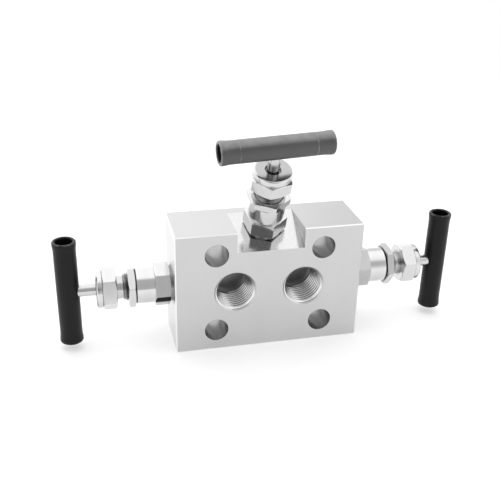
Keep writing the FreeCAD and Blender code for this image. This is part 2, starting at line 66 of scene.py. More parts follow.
LOCK_NUT_TOP = 21.8
LOCK_NUT_SINK = 0.5
NECK_START = 23.8
NECK_BLEND = 0.4
GLAND_BOTTOM = 12.2
GLAND_NOSE_TOP = 13.2
GLAND_HEX_START = 27.2
GLAND_HEX_TOP = 34.1
GLAND_LOWER_CHAMFER = 2.0  # so many times longer than a hexagon's other chamfers
GLAND_THREAD_RADIUS = 6.9
GLAND_THREAD_PITCH = 1.0
GLAND_THREAD_DEPTH = 0.55
GLAND_THREAD_HIDDEN = 1.0
GLAND_NECK_RADIUS = 5.8
SPIGOT_TOP = 36.3
SPIGOT_RADIUS = 6.5
CAP_TOP = 37.3
CAP_RADIUS = 9.4
CAP_EDGE = 1.1
CAP_HOLE_RADIUS = 3.75
CAP_HOLE_EDGE = 0.3

STEM_RADIUS = 3.0
STEM_BORE_RADIUS = 3.08
STEM_END = 48.3
STEM_THREAD_RADIUS = 4.0
STEM_THREAD_ROOT = 3.35
STEM_THREAD_PITCH = 1.25
STEM_THREAD_TOP = -1.16
STEM_THREAD_RUNOUT = 0.3
TIP_TOP = -13.2
TIP_NECK_TOP = -11.7
TIP_FLANGE_TOP = -10.4
TIP_NECK_RADIUS = 1.6
TIP_FLANGE_RADIUS = 2.6
TIP_GAP = 0.08

HANDLE_HEIGHT = 45.5
HANDLE_LENGTH = 55.0
HANDLE_RADIUS = 5.5
HANDLE_BORE_RADIUS = 4.2
LIP_RADIUS = 5.8
LIP_START = 0.55
LIP_ROUND = 0.8
CORE_LENGTH = 37.0
SCREW_START = 3.05
SCREW_LENGTH = 8.0
SCREW_RADIUS = 2.0
SCREW_EDGE = 0.25
SOCKET_FLATS = 2.0
SOCKET_DEPTH = 2.0
SOCKET_POINT = 0.5
# Behind the lip: how far from the tube's end, and how wide. Over the core's end: how far past it, and how
# deep.
HANDLE_FLARE = ((1.8, LIP_RADIUS - 0.02), (2.8, LIP_RADIUS - 0.13), (4.2, HANDLE_RADIUS))
CORE_STEP = ((0.5, 0.05), (0.0, 0.02), (-0.6, 0.0))

# The block and its two process ports
BLOCK_DEPTH = 32.0
BLOCK_HEIGHT = 63.5
BLOCK_WIDTH = 95.0
BLOCK_EDGE = 0.5
BOLT_SPACING_X = 54.0
BOLT_SPACING_Z = 41.3
BOLT_RADIUS = 6.0
NOTCH_WIDTH = 34.0
NOTCH_DEPTH = 10.4
NOTCH_LENGTH = 25.6
NOTCH_SLOPE = math.atan2(NOTCH_DEPTH, NOTCH_LENGTH)
NOTCH_FLOOR = BLOCK_HEIGHT - NOTCH_DEPTH + BLOCK_DEPTH / 2 * math.tan(NOTCH_SLOPE)
PORT_SPACING = 35.0
PORT_RADIUS = 10.4
PORT_MOUTH_RADIUS = 10.72
PORT_MOUTH_START = 0.03
PORT_MOUTH_DEPTH = 0.65
PORT_MOUTH_SUNK = 0.2
PORT_MOUTH_BACK_RADIUS = 10.9
PORT_THREAD_END = 18.0
PORT_CREST_RADIUS = 9.45
PORT_TAPER = 1 / 32
PORT_PITCH = 1.814
PORT_FADE = 0.06
PORT_DEPTH = 19.5

# How finely round pieces are divided, and where their surfaces show an edge
CORNER_EASE = 0.7
HEX_STEP = 3.0
ROUND_SIDES = 120
HANDLE_SIDES = 96
STEM_SIDES = 72
SCREW_SIDES = 60
RIM_STEPS = 6
LIP_STEPS = 8
THREAD_SIDES = 72
THREAD_FOOT = 0.1
THREAD_FADE = 0.15
LEAST_RIDGE = 0.02
CUT_STEP = 0.002  # keeps the points apart where a ridge is cut off
SHARP_DEGREES = 25
THREAD_SHARP_DEGREES = 50
MERGE_DISTANCE = 1e-7

# Where each valve's axis starts on the block, and how it leans
LEFT_FOOT = (-BLOCK_WIDTH / 2, 0, BLOCK_HEIGHT / 2), Matrix.Rotation(math.radians(-90), 4, "Y")
RIGHT_FOOT = (BLOCK_WIDTH / 2, 0, BLOCK_HEIGHT / 2), Matrix.Rotation(math.radians(90), 4, "Y")
NOTCH_FOOT = (0, 0, NOTCH_FLOOR), Matrix.Rotation(NOTCH_SLOPE, 4, "X")


def valve_frame(foot, rotation):
    return Matrix.Translation([value * MM for value in foot]) @ rotation


# Each valve: its frame, how far it is opened, and how its hexagons and its handle are turned, in degrees
VALVES = {
    "left": {
        "frame": valve_frame(*LEFT_FOOT), "opening": 5.2,
        "bonnet": 18.6, "lock_nut": 48.4, "gland_nut": 12.8, "handle": 180.0,
    },
    "right": {
        "frame": valve_frame(*RIGHT_FOOT), "opening": 3.5,
        "bonnet": 15.8, "lock_nut": 37.2, "gland_nut": 13.2, "handle": 0.0,
    },
    "equalising": {
        "frame": valve_frame(*NOTCH_FOOT), "opening": 4.9,
        "bonnet": 39.7, "lock_nut": 37.0, "gland_nut": 17.5, "handle": 4.0,
    },
}


def handle_frame(facts):
    """Where a handle's middle is at rest, with its length as Z."""
    lift = Matrix.Translation((0, 0, (HANDLE_HEIGHT + facts["opening"]) * MM))
    turn = Matrix.Rotation(math.radians(facts["handle"]), 4, "Z")
    return facts["frame"] @ lift @ turn @ Matrix.Rotation(math.radians(90), 4, "Y")


# Meshes turned or screw-cut about a local Z axis
def add_object(name, bm, place, material, body, sharp_degrees=SHARP_DEGREES):
    bmesh.ops.remove_doubles(bm, verts=bm.verts, dist=MERGE_DISTANCE)
    bmesh.ops.recalc_face_normals(bm, faces=bm.faces)
    mesh = bpy.data.meshes.new(name)
    bm.to_mesh(mesh)
    bm.free()
    mesh.transform(place)
    mesh.polygons.foreach_set("use_smooth", [True] * len(mesh.polygons))
    mesh.set_sharp_from_angle(angle=math.radians(sharp_degrees))
    mesh.materials.append(material)
    piece = bpy.data.objects.new(name, mesh)
    bpy.context.scene.collection.objects.link(piece)
    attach(piece, body)
    return piece


def skin(bm, here, there):
    """Faces between two closed outlines of equally many points."""
    count = len(here)
    for k in range(count):
        bm.faces.new((here[k], here[(k + 1) % count], there[(k + 1) % count], there[k]))


def ring_mesh(section, angles):
    """A closed ring: section(angle) gives the same number of (height, radius) points at every angle, in
    millimetres, and they close on themselves. Points at radius 0 meet on the axis."""
    bm = bmesh.new()
    rings = []
    for angle in angles:
        across, up = math.cos(angle), math.sin(angle)
        rings.append([bm.verts.new((r * across * MM, r * up * MM, z * MM)) for z, r in section(angle)])
    for here, there in zip(rings, rings[1:] + rings[:1]):
        skin(bm, here, there)
    bmesh.ops.dissolve_degenerate(bm, dist=MERGE_DISTANCE, edges=bm.edges)
    return bm


def even_angles(count):
    return [2 * math.pi * k / count for k in range(count)]


def hex_angles(turn):
    """Angles for a hexagon with a corner at turn degrees: each corner is eased by a narrow flat."""
    steps = [CORNER_EASE] + [HEX_STEP * k for k in range(1, int(60 / HEX_STEP))] + [60 - CORNER_EASE]
    return [math.radians(turn + 60 * side + step) for side in range(6) for step in steps]


def across_hexagon(flats, angle, turn=0.0):
    """From the axis to the side of a hexagon, at this angle."""
    from_flat = (math.degrees(angle) - turn) % 60 - 30
    return flats / 2 / math.cos(math.radians(from_flat))


def nut_corner(angle, turn):
    """How far out a nut's side is at this angle, and how far along the axis its chamfer runs there."""
    radius = across_hexagon(HEX_FLATS, angle, turn)
    return radius, (radius - HEX_FACE_RADIUS) * HEX_CHAMFER


def bonnet_section(turn):
    def section(angle):
        radius, run = nut_corner(angle, turn)
        return [
            (BONNET_BOTTOM, BONNET_THREAD_RADIUS - 2 * TURNED_EDGE),
            (BONNET_BOTTOM + 2 * TURNED_EDGE, BONNET_THREAD_RADIUS),
            (0, BONNET_THREAD_RADIUS),
            (0, COLLAR_RADIUS),
            (COLLAR_TOP, COLLAR_RADIUS),
            (COLLAR_TOP, HEX_FACE_RADIUS),
            (COLLAR_TOP + run, radius),
            (BONNET_HEX_TOP - run, radius),
            (BONNET_HEX_TOP, HEX_FACE_RADIUS),
            (BONNET_HEX_TOP, BARREL_RADIUS),
            (BARREL_TOP - BARREL_END_CHAMFER, BARREL_RADIUS),
            (BARREL_TOP, BARREL_RADIUS - BARREL_END_CHAMFER),
            (BARREL_TOP, GLAND_THREAD_RADIUS + FIT_GAP),
            (GLAND_NOSE_TOP, GLAND_THREAD_RADIUS + FIT_GAP),
            (GLAND_NOSE_TOP, PACKING_BORE_RADIUS),
            (PACKING_BOTTOM, PACKING_BORE_RADIUS),
            (PACKING_BOTTOM, STEM_BORE_RADIUS),
            (STEM_THREAD_BORE_TOP, STEM_BORE_RADIUS),
            (STEM_THREAD_BORE_TOP, STEM_THREAD_BORE_RADIUS),
            (BONNET_BOTTOM, STEM_THREAD_BORE_RADIUS),
        ]
    return section


def lock_nut_section(turn):
    def section(angle):
        radius, run = nut_corner(angle, turn)
        return [
            (BARREL_TOP, HEX_FACE_RADIUS),
            (BARREL_TOP + run, radius),
            (LOCK_NUT_TOP - run, radius),
            (LOCK_NUT_TOP, HEX_FACE_RADIUS),
            (LOCK_NUT_TOP, GLAND_THREAD_RADIUS + LOCK_NUT_SINK),
            (LOCK_NUT_TOP - (LOCK_NUT_SINK - FIT_GAP), GLAND_THREAD_RADIUS + FIT_GAP),
            (BARREL_TOP, GLAND_THREAD_RADIUS + FIT_GAP),
        ]
    return section


def gland_nut_section(turn):
    root = GLAND_THREAD_RADIUS - GLAND_THREAD_DEPTH

    def section(angle):
        radius, run = nut_corner(angle, turn)
        return [
            (GLAND_BOTTOM, PACKING_BORE_RADIUS - FIT_GAP),
            (GLAND_NOSE_TOP, PACKING_BORE_RADIUS - FIT_GAP),
            (GLAND_NOSE_TOP, root),
            (NECK_START, root),
            (NECK_START + NECK_BLEND, GLAND_NECK_RADIUS),
            (GLAND_HEX_START, GLAND_NECK_RADIUS),
            (GLAND_HEX_START, HEX_FACE_RADIUS),
            (GLAND_HEX_START + GLAND_LOWER_CHAMFER * run, radius),
            (GLAND_HEX_TOP - run, radius),
            (GLAND_HEX_TOP, HEX_FACE_RADIUS),
            (GLAND_HEX_TOP, SPIGOT_RADIUS),
            (SPIGOT_TOP, SPIGOT_RADIUS),
            (SPIGOT_TOP, STEM_BORE_RADIUS),
            (GLAND_BOTTOM, STEM_BORE_RADIUS),
        ]
    return section


def gland_cap_section(angle):
    rim = []
    for k in range(RIM_STEPS + 1):
        a = math.radians(90 * k / RIM_STEPS)
        rim.append((CAP_TOP - CAP_EDGE * (1 - math.sin(a)), CAP_RADIUS - CAP_EDGE * (1 - math.cos(a))))
    return [
        (GLAND_HEX_TOP, SPIGOT_RADIUS + FIT_GAP),
        (GLAND_HEX_TOP, CAP_RADIUS - TURNED_EDGE),
        (GLAND_HEX_TOP + TURNED_EDGE, CAP_RADIUS),
        *rim,
        (CAP_TOP, CAP_HOLE_RADIUS + CAP_HOLE_EDGE),
        (CAP_TOP - CAP_HOLE_EDGE, CAP_HOLE_RADIUS),
        (SPIGOT_TOP + FIT_GAP, CAP_HOLE_RADIUS),
        (SPIGOT_TOP + FIT_GAP, SPIGOT_RADIUS + FIT_GAP),
    ]


def port_mouth_section(angle):
    """The chamfer that the first turn of a port's thread starts from. Its back lies in the block."""
    return [
        (PORT_MOUTH_START, PORT_MOUTH_RADIUS),
        (PORT_MOUTH_DEPTH, PORT_MOUTH_RADIUS - PORT_MOUTH_DEPTH),
        (PORT_MOUTH_DEPTH + PORT_MOUTH_SUNK, PORT_RADIUS + PORT_MOUTH_SUNK / 2),
        (PORT_MOUTH_SUNK, PORT_MOUTH_BACK_RADIUS),
    ]


def stem_section(angle):
    """The stem, closed: a socket for the swivelling tip, the root of its thread, and the shaft."""
    foot_radius = STEM_THREAD_RADIUS - TURNED_EDGE / 2
    return [
        (TIP_TOP + TIP_GAP, TIP_NECK_RADIUS + TIP_GAP),
        (TIP_TOP + TIP_GAP, foot_radius),
        (TIP_FLANGE_TOP - TURNED_EDGE, foot_radius),
        (TIP_FLANGE_TOP, STEM_THREAD_ROOT),
        (STEM_THREAD_TOP - STEM_THREAD_RUNOUT, STEM_THREAD_ROOT),
        (STEM_THREAD_TOP, STEM_RADIUS),
        (STEM_END - TURNED_EDGE, STEM_RADIUS),
        (STEM_END, STEM_RADIUS - TURNED_EDGE),
        (STEM_END, 0),
        (TIP_FLANGE_TOP + TIP_GAP, 0),
        (TIP_FLANGE_TOP + TIP_GAP, TIP_FLANGE_RADIUS + TIP_GAP),
        (TIP_NECK_TOP - TIP_GAP, TIP_FLANGE_RADIUS + TIP_GAP),
        (TIP_NECK_TOP - TIP_GAP, TIP_NECK_RADIUS + TIP_GAP),
    ]


def set_screw_section(angle):
    """The set screw along the handle: a flat point, and a hexagon socket in its outer end."""
    socket = across_hexagon(SOCKET_FLATS, angle)
    outer = SCREW_START + SCREW_LENGTH
    return [
        (SCREW_START, 0),
        (SCREW_START, SCREW_RADIUS - TURNED_EDGE),
        (SCREW_START + TURNED_EDGE, SCREW_RADIUS),
        (outer - SCREW_EDGE, SCREW_RADIUS),
        (outer, SCREW_RADIUS - SCREW_EDGE),
        (outer, socket),
        (outer - SOCKET_DEPTH, socket),
        (outer - SOCKET_DEPTH - SOCKET_POINT, 0),
    ]


def handle_section(angle):
    """The handle tube, with its axis as Z: rounded lips, a slight flare behind them and a faint step where
    the steel core ends inside."""
    half = HANDLE_LENGTH / 2
    wall_middle = (HANDLE_BORE_RADIUS + LIP_RADIUS) / 2
    outer = [(half - LIP_START, HANDLE_BORE_RADIUS)]
    for k in range(1, LIP_STEPS + 1):
        a = math.radians(180 - 180 * k / LIP_STEPS)
        outer.append((half - LIP_ROUND + LIP_ROUND * math.sin(a), wall_middle + LIP_ROUND * math.cos(a)))
    outer += [(half - back, radius) for back, radius in HANDLE_FLARE]
    outer += [(CORE_LENGTH / 2 + past, HANDLE_RADIUS - deep) for past, deep in CORE_STEP]
    mirrored = [(-z, r) for z, r in reversed(outer)]
    return outer + mirrored


# A V-shaped thread ridge with a narrow flat on top: how far along the pitch and up the ridge each point lies
RIDGE = (
    (-0.50, 0.0), (-0.44, 0.04), (-0.11, 0.93), (-0.06, 1.0),
    (0.06, 1.0), (0.11, 0.93), (0.44, 0.04), (0.50, 0.0),
)


def thread_mesh(root, crest, start, end, pitch, crest_taper=0.0, fade=THREAD_FADE):
    """A helical ridge on a cylinder of the root radius, in millimetres, inwards where the crest is smaller
    than the root. It fades in and out over a part of a turn, and sinks its foot into the cylinder. The
    first turn is cut off where it would stand out before the start."""
    bm = bmesh.new()
    turns = (end - start - pitch / 2) / pitch
    steps = int(turns * THREAD_SIDES)
    sunk = root + math.copysign(THREAD_FOOT, root - crest)
    rings = []
    for k in range(steps + 1):
        turn = turns * k / steps
        across, up = math.cos(2 * math.pi * turn), math.sin(2 * math.pi * turn)
        middle = start + pitch * turn
        grow = max(LEAST_RIDGE, min(1.0, turn / fade, (turns - turn) / fade))
        height = (crest - crest_taper * pitch * turn - root) * grow
        outline = [(pitch * along, root + height * rise) for along, rise in RIDGE]
        outline += [(pitch * 0.5, sunk), (-pitch * 0.5, sunk)]
        ring = []
        for n, (z, r) in enumerate(outline):
            kept = max(middle + z, start + CUT_STEP * n)
            ring.append(bm.verts.new((r * across * MM, r * up * MM, kept * MM)))
        rings.append(ring)
    for here, there in zip(rings, rings[1:]):
        skin(bm, here, there)
    bm.faces.new(rings[0])
    bm.faces.new(rings[-1])
    return bm


# Material nodes. A colour is a grey level, or its red, green and blue, or another node's output. A mask is a
# number from 0 to 1. Places in materials are those at rest, so they move with the pieces.
def as_colour(value):
    if isinstance(value, float):
        return value, value, value, 1
    if isinstance(value, tuple):
        return *value, 1
    return value


def new_material(name, colour, metallic, roughness):
    material = bpy.data.materials.new(name)
    material.use_nodes = True
    shader = material.node_tree.nodes["Principled BSDF"]
    shader.inputs["Base Color"].default_value = as_colour(colour)
    shader.inputs["Metallic"].default_value = metallic
    shader.inputs["Roughness"].default_value = roughness
    return material, material.node_tree, shader


def node(tree, kind, **values):
    made = tree.nodes.new(kind)
    for key, value in values.items():
        if hasattr(made, key):
            setattr(made, key, value)
        else:
            made.inputs[key].default_value = value
    return made


def math_node(tree, operation, first, second=None):
    made = node(tree, "ShaderNodeMath", operation=operation)
    for socket, value in zip(made.inputs, (first, second)):
        if isinstance(value, (int, float)):
            socket.default_value = value
        elif value is not None:
            tree.links.new(value, socket)
    return made.outputs[0]


def product(tree, *factors):
    value = factors[0]
    for factor in factors[1:]:
        value = math_node(tree, "MULTIPLY", value, factor)
    return value


def greatest(tree, *values):
    most = values[0]
    for value in values[1:]:
        most = math_node(tree, "MAXIMUM", most, value)
    return most


def clamped(tree, value):
    made = node(tree, "ShaderNodeClamp")
    tree.links.new(value, made.inputs["Value"])
    return made.outputs[0]


def vector_node(tree, operation, first, second=None, output="Vector"):
    made = node(tree, "ShaderNodeVectorMath", operation=operation)
    tree.links.new(first, made.inputs[0])
    if second is not None:
        made.inputs[1].default_value = second
    return made.outputs[output]


def dot(tree, place, direction):
    return vector_node(tree, "DOT_PRODUCT", place, direction, "Value")


def map_range(tree, value, ends, results=(0.0, 1.0), interpolation="LINEAR"):
    """From one result to the other as the value goes from one end to the other, and no further."""
    span = node(tree, "ShaderNodeMapRange", interpolation_type=interpolation)
    tree.links.new(value, span.inputs["Value"])
    for name, level in zip(("From Min", "From Max", "To Min", "To Max"), (*ends, *results)):
        span.inputs[name].default_value = level
    return span.outputs["Result"]


def remap(tree, source, low, high):
    return map_range(tree, source, (0.0, 1.0), (low, high))


def mix_node(tree, kind, factor, first, second):
    mix = node(tree, "ShaderNodeMix", data_type=kind)
    tree.links.new(factor, mix.inputs["Factor"])
    for socket, value in (("A", first), ("B", second)):
        if isinstance(value, (float, tuple)):
            mix.inputs[socket].default_value = value
        else:
            tree.links.new(value, mix.inputs[socket])
    return mix.outputs["Result"]


def blended(tree, factor, first, second):
    """A number between two others, each a plain value or another node's output."""
    return mix_node(tree, "FLOAT", factor, first, second)


def coloured(tree, factor, first, second):
    """A colour between two others."""
    return mix_node(tree, "RGBA", factor, as_colour(first), as_colour(second))


def noise(tree, vector, scale, detail=3.0, roughness=0.5):
    texture = node(tree, "ShaderNodeTexNoise", Scale=scale, Detail=detail, Roughness=roughness)
    tree.links.new(vector, texture.inputs["Vector"])
    return texture.outputs["Fac"]


def streaks(tree, vector, scales):
    stretched = vector_node(tree, "MULTIPLY", vector, scales)
    return noise(tree, stretched, scale=1.0, detail=4.0, roughness=0.6)


def object_place(tree):
    return node(tree, "ShaderNodeTexCoord").outputs["Object"]


def parts_of(tree, vector):
    made = node(tree, "ShaderNodeSeparateXYZ")
    tree.links.new(vector, made.inputs[0])
    return made.outputs


def joined(tree, first, second):
    made = node(tree, "ShaderNodeCombineXYZ")
    tree.links.new(first, made.inputs["X"])
    tree.links.new(second, made.inputs["Y"])
    return made.outputs["Vector"]


def along_and_out(tree, place, axis):
    """How far a place lies along an axis, and how far from it."""
    out = vector_node(tree, "LENGTH", vector_node(tree, "CROSS_PRODUCT", place, axis), output="Value")
    return dot(tree, place, axis), out


def add_bump(tree, shader, height, distance):
    bump = node(tree, "ShaderNodeBump", Distance=distance, Strength=1.0)
    tree.links.new(height, bump.inputs["Height"])
    tree.links.new(bump.outputs["Normal"], shader.inputs["Normal"])


def below(tree, value, limit, softness=0.05):
    """1 where a length in metres is under a limit in millimetres, 0 above it."""
    return map_range(tree, value, ((limit + softness) * MM, (limit - softness) * MM))


def above(tree, value, limit, softness=0.05):
    return math_node(tree, "SUBTRACT", 1.0, below(tree, value, limit, softness))


def between(tree, value, low, high, softness=0.05):
    return product(tree, above(tree, value, low, softness), below(tree, value, high, softness))


# Masks are drawn a little past the surfaces that they are for, so that those are wholly inside.
SLACK = 0.03
WIDE_SLACK = 0.1
PORT_BRIGHT_END = 2.4
PORT_BOTTOM_START = 16.8
THREAD_LEAN = 1 / 48


def off_middle(tree, parts, name):
    """How far from the block's middle, along one axis."""
    middle = BLOCK_HEIGHT / 2 if name == "Z" else 0.0
    return math_node(tree, "ABSOLUTE", math_node(tree, "SUBTRACT", parts[name], middle * MM))


def depth_in_block(tree, parts):
    """How far behind the block's front face."""
    return math_node(tree, "ADD", parts["Y"], BLOCK_DEPTH / 2 * MM)


def distance_to_bores(tree, parts, spacing_x, spacing_z):
    """Distance from the nearest of the bores along Y that lie evenly about the block's middle."""
    reach = []
    for name, spacing in (("X", spacing_x), ("Z", spacing_z)):
        reach.append(math_node(tree, "SUBTRACT", off_middle(tree, parts, name), spacing / 2 * MM))
    return vector_node(tree, "LENGTH", joined(tree, *reach), output="Value")


def edge_mask(tree, parts, softness=0.02):
    """1 on the block's broken edges, where two of its sides are equally near."""
    depths = []
    for name, size in (("X", BLOCK_WIDTH), ("Y", BLOCK_DEPTH), ("Z", BLOCK_HEIGHT)):
        depths.append(math_node(tree, "SUBTRACT", size / 2 * MM, off_middle(tree, parts, name)))
    masks = []
    for first, second in ((0, 1), (0, 2), (1, 2)):
        both = math_node(tree, "ADD", depths[first], depths[second])
        masks.append(below(tree, both, BLOCK_EDGE + softness, softness))
    return greatest(tree, *masks)


def notch_mask(tree, parts, softness=0.04):
    """1 on the notch's floor and side walls."""
    floor = math_node(tree, "SUBTRACT", parts["Z"], product(tree, parts["Y"], math.tan(NOTCH_SLOPE)))
    over_floor = above(tree, floor, NOTCH_FLOOR - WIDE_SLACK, softness)
    inside = below(tree, off_middle(tree, parts, "X"), NOTCH_WIDTH / 2 + WIDE_SLACK, softness)
    under_top = below(tree, parts["Z"], BLOCK_HEIGHT - WIDE_SLACK, softness)
    return product(tree, over_floor, inside, under_top)


# The block's steel: how fine each pattern is along X, Y and Z, and then the greys and the roughness by
# place. Two numbers are the darkest and the lightest, or the shiniest and the dullest.
CUTTER_ROWS, CUTTER_COLUMNS = (60, 60, 1400), (60, 1400, 60)
NOTCH_CUTS = (900, 25, 900)
CLOUD_SCALE = 55
# Painted light makes the left face lighter, a painted highlight lightens the edges, and painted shade
# darkens the notch walls, bolt holes and ports, a little less at the ports' bottoms.
BLOCK_GREYS = {
    "outside": (0.54, 0.60), "lit_left_face": 0.72, "edges": 0.90, "notch_floor": (0.56, 0.68),
    "notch_walls": (0.22, 0.56), "bolt_holes": 0.31, "ports": 0.28, "port_bottoms": 0.40,
}
BLOCK_ROUGHNESS = {"outside": (0.27, 0.36), "bolt_holes": 0.19, "notch": (0.12, 0.20)}
CUTTER_LINE_DEPTH = 10 * MICROMETRE


def milled_steel(name):
    """Satin block steel: fine cutter lines and soft cloudy patches outside, a left face painted lighter as
    light, a painted highlight on the broken edges, a shiny notch with streaks along its slope and painted
    shade on its walls, and bores painted darker as shade. The ports are painted dark as shade behind their
    bright first turns, and a little lighter at their bottoms."""
    material, tree, shader = new_material(name, colour=0.57, metallic=1.0, roughness=0.3)
    place = object_place(tree)
    parts = parts_of(tree, place)
    clouds = noise(tree, place, CLOUD_SCALE)
    lines = math_node(tree, "ADD", streaks(tree, place, CUTTER_ROWS), streaks(tree, place, CUTTER_COLUMNS))
    cuts = streaks(tree, place, NOTCH_CUTS)

    lit_left_face = below(tree, parts["X"], 2 * WIDE_SLACK - BLOCK_WIDTH / 2, softness=0.1)
    notch = notch_mask(tree, parts)
    notch_walls = above(tree, off_middle(tree, parts, "X"), NOTCH_WIDTH / 2 - WIDE_SLACK)
    from_bolt_hole = distance_to_bores(tree, parts, BOLT_SPACING_X, BOLT_SPACING_Z)
    bolt_holes = below(tree, from_bolt_hole, BOLT_RADIUS + SLACK)
    depth = depth_in_block(tree, parts)
    from_port = distance_to_bores(tree, parts, PORT_SPACING, 0.0)
    ports = product(tree, between(tree, depth, PORT_BRIGHT_END, PORT_DEPTH + 0.5, softness=0.4),
                    below(tree, from_port, PORT_RADIUS + SLACK))
    port_bottoms = product(tree, ports, above(tree, depth, PORT_BOTTOM_START, softness=0.1))

    notch_floor_grey = coloured(tree, cuts, *BLOCK_GREYS["notch_floor"])
    notch_wall_grey = coloured(tree, cuts, *BLOCK_GREYS["notch_walls"])
    colour = coloured(tree, clouds, *BLOCK_GREYS["outside"])
    # Painted light on the left face, a painted highlight on the edges, and painted shade on the notch walls,
    # bolt holes and ports.
    for mask, layer in (
        (lit_left_face, BLOCK_GREYS["lit_left_face"]),
        (notch, coloured(tree, notch_walls, notch_floor_grey, notch_wall_grey)),
        (bolt_holes, BLOCK_GREYS["bolt_holes"]),
        (edge_mask(tree, parts), BLOCK_GREYS["edges"]),
        (ports, BLOCK_GREYS["ports"]),
        (port_bottoms, BLOCK_GREYS["port_bottoms"]),
    ):
        colour = coloured(tree, mask, colour, layer)
    tree.links.new(colour, shader.inputs["Base Color"])

    satin = remap(tree, clouds, *BLOCK_ROUGHNESS["outside"])
    satin = blended(tree, bolt_holes, satin, BLOCK_ROUGHNESS["bolt_holes"])
    finish = blended(tree, notch, satin, remap(tree, cuts, *BLOCK_ROUGHNESS["notch"]))
    tree.links.new(finish, shader.inputs["Roughness"])
    add_bump(tree, shader, lines, CUTTER_LINE_DEPTH)
    return material


# The ports' threads, as above, and where to the left of a port's axis a lighter band is painted as a
# reflection
TEAR_SCALE = 700
TEAR_DEPTH = 8 * MICROMETRE
CREST_GREY = 0.68, 0.86
# Painted shade darkens the roots; a lighter band on the left is a painted reflection.
ROOT_SHADE_GREY = 0.05, 0.09
LEFT_REFLECTION_GREY = 0.42
LEFT_REFLECTION_FROM, LEFT_REFLECTION_SOFTNESS = -1.0, 1.6
THREAD_ROUGHNESS = 0.14, 0.26


def cut_steel(name):
    """Threads with bright crests over roots painted dark as shade, and a lighter band painted on their left
    as a reflection, with the tap's fine marks.
    """
    material, tree, shader = new_material(name, colour=0.7, metallic=1.0, roughness=0.2)
    place = object_place(tree)
    parts = parts_of(tree, place)
    tears = noise(tree, place, TEAR_SCALE)
    depth = depth_in_block(tree, parts)
    from_axis = distance_to_bores(tree, parts, PORT_SPACING, 0.0)
    untapered = math_node(tree, "ADD", from_axis, product(tree, depth, THREAD_LEAN))
    half_up = (PORT_RADIUS + PORT_CREST_RADIUS) / 2
    crest = greatest(tree, below(tree, untapered, half_up - WIDE_SLACK, softness=0.3),
                     below(tree, depth, PORT_BRIGHT_END, softness=0.5))
    port_axis = product(tree, math_node(tree, "SIGN", parts["X"]), PORT_SPACING / 2 * MM)
    # A lighter band painted on the left as a reflection, over painted shade in the roots.
    left_reflection = below(tree, math_node(tree, "SUBTRACT", parts["X"], port_axis), LEFT_REFLECTION_FROM, LEFT_REFLECTION_SOFTNESS)
    flanks = coloured(tree, left_reflection, coloured(tree, tears, *ROOT_SHADE_GREY), LEFT_REFLECTION_GREY)
    colour = coloured(tree, crest, flanks, coloured(tree, tears, *CREST_GREY))
    tree.links.new(colour, shader.inputs["Base Color"])
    tree.links.new(remap(tree, tears, *THREAD_ROUGHNESS), shader.inputs["Roughness"])
    add_bump(tree, shader, tears, TEAR_DEPTH)
    return material


# Oil with painted shade, and a painted dark reflection, on the turned steel: how far past each place they
# reach, how even they are, and how dark
DARK_PAST_THREAD = 0.3
DARK_OVER_THREAD = 0.4
SHADED_SEAM = -0.4, 0.12
DARK_IN_CAP = 0.08
DARK_SLACK = 0.05
OIL_AND_SHADE_STRENGTH = 0.6, 1.0
OIL_AND_SHADE_GREY = 0.12
FACET_REFLECTION_FROM, FACET_REFLECTION_SOFTNESS = -1.0, 1.2
FACET_REFLECTION_SLACK = 0.12
FACET_REFLECTION_GREY = 0.020
FACET_REFLECTION_ROUGHNESS = 0.8


def oil_and_shade_mask(tree, along, radius, collar_oil_and_shade, neck_oil_and_shade):
    """Oil and painted shade on the thread, in the joint under the lock nut and round the stem in the cap,
    and by the given amounts on the collar and the neck."""
    thread = product(tree, between(tree, along, GLAND_NOSE_TOP, NECK_START + DARK_PAST_THREAD, softness=0.25),
                     below(tree, radius, GLAND_THREAD_RADIUS + DARK_OVER_THREAD, softness=0.3))
    neck = product(tree, between(tree, along, NECK_START, GLAND_HEX_START + DARK_SLACK, softness=0.1),
                   below(tree, radius, GLAND_THREAD_RADIUS), neck_oil_and_shade)
    seam_start, seam_end = SHADED_SEAM
    seam = between(tree, along, BARREL_TOP + seam_start, BARREL_TOP + seam_end, softness=0.1)
    collar = product(tree, below(tree, along, COLLAR_TOP + DARK_SLACK), collar_oil_and_shade)
    cap_gap = product(tree, below(tree, radius, CAP_HOLE_RADIUS + DARK_IN_CAP),
                      above(tree, along, GLAND_HEX_TOP))
    return greatest(tree, thread, neck, seam, collar, cap_gap)


def painted_reflection_mask(tree, place, along, facet, edge):
    """Where a dark reflection is painted: 1 on one facet of the bonnet's hexagon, which is named by its
    normal, and 0 towards the end of it that edge points away from."""
    on_facet = above(tree, dot(tree, place, facet), HEX_FLATS / 2 - FACET_REFLECTION_SLACK)
    on_far_end = above(tree, dot(tree, place, edge), FACET_REFLECTION_FROM, FACET_REFLECTION_SOFTNESS)
    return product(tree, on_facet, between(tree, along, COLLAR_TOP, BONNET_HEX_TOP), on_far_end)


# Turned steels: their grey, their roughness from clean to smudged, and how deep their grooves are
TURNED_FINISH = {"colour": 0.65, "roughness": (0.08, 0.17), "grooves": 10 * MICROMETRE}
CAP_FINISH = {"colour": 0.66, "roughness": (0.17, 0.24), "grooves": 10 * MICROMETRE}
STEM_FINISH = {"colour": 0.60, "roughness": (0.12, 0.22), "grooves": 5 * MICROMETRE}
SCREW_FINISH = {"colour": 0.08, "roughness": (0.30, 0.42), "grooves": 10 * MICROMETRE}
# The cap's flat face is painted darker than its rim, as shade.
CAP_FACE_SHADE_GREY = 0.42
GROOVE_SCALE = 4200
BAND_SCALE = 700
SMUDGE_SCALE = 180
BAND_CONTRAST = 0.07
HEXAGON_CONTRAST = 0.1


def varied(tree, factor, level, contrast):
    """A grey that varies about its level by this part of it."""
    return coloured(tree, factor, level * (1 - contrast), level * (1 + contrast))


